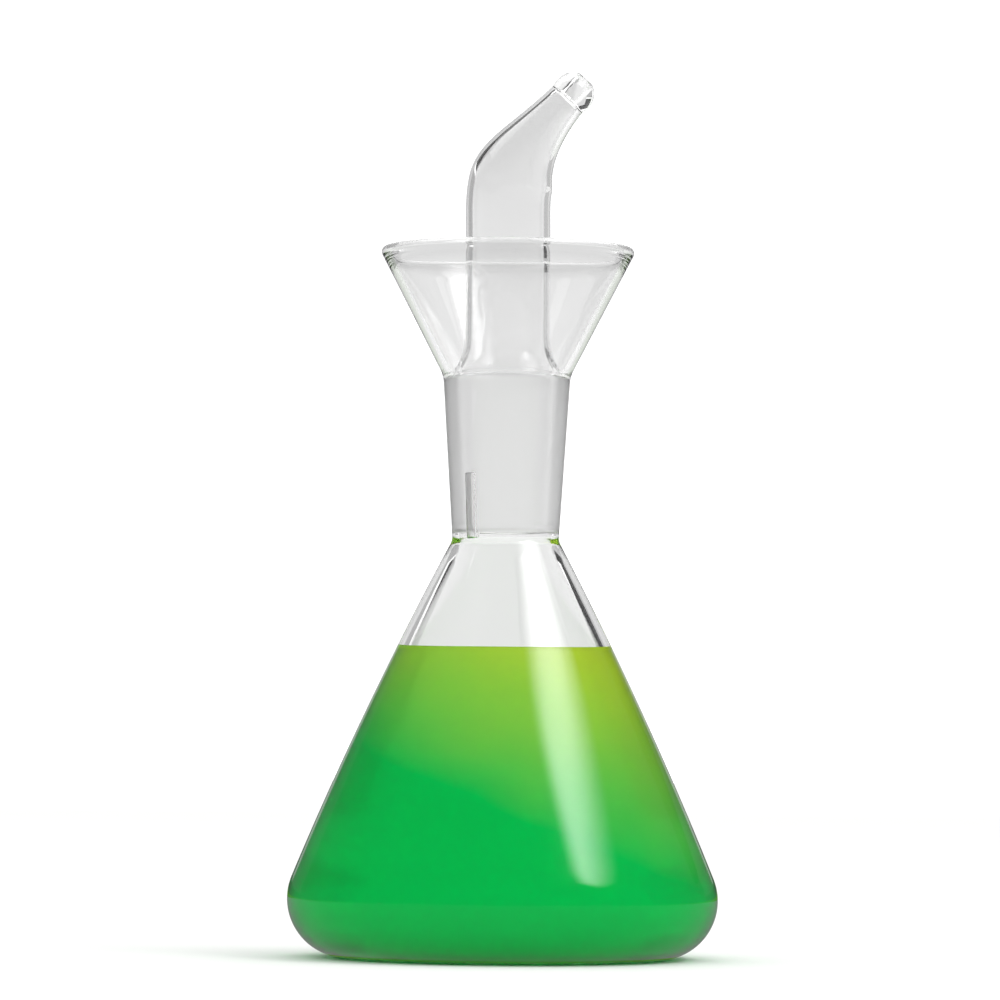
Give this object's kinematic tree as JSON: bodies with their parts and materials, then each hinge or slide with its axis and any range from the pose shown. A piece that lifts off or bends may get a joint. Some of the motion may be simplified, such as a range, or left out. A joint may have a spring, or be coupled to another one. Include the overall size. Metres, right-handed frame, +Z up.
{
  "type": "drip-catching oil cruet",
  "caption": "Conical glass cruet with a drip-catching funnel round its mouth, a lift-out ground-glass pourer with a bent, tapering spout, and a green liquid filling.",
  "frame": {"origin": "centre of the foot ring, on the surface the cruet stands on", "axes": "+Z up along the flask's axis, +X towards the side the spout leans to, -Y the side that faces the viewer"},
  "size_m": [0.088, 0.088, 0.1819],
  "materials": {
    "clear_glass": "polished",
    "ground_glass": "polished",
    "green_liquid": "gloss"
  },
  "bodies": {
    "flask_and_filling": {"flask": "clear_glass", "liquid": "green_liquid"},
    "pourer": {"pourer": "ground_glass"}
  },
  "joints": [
    {"name": "pourer_lift", "type": "slide", "parent": "flask_and_filling", "child": "pourer", "axis": [0, 0, 1], "range_m": [0, 0.065]}
  ]
}
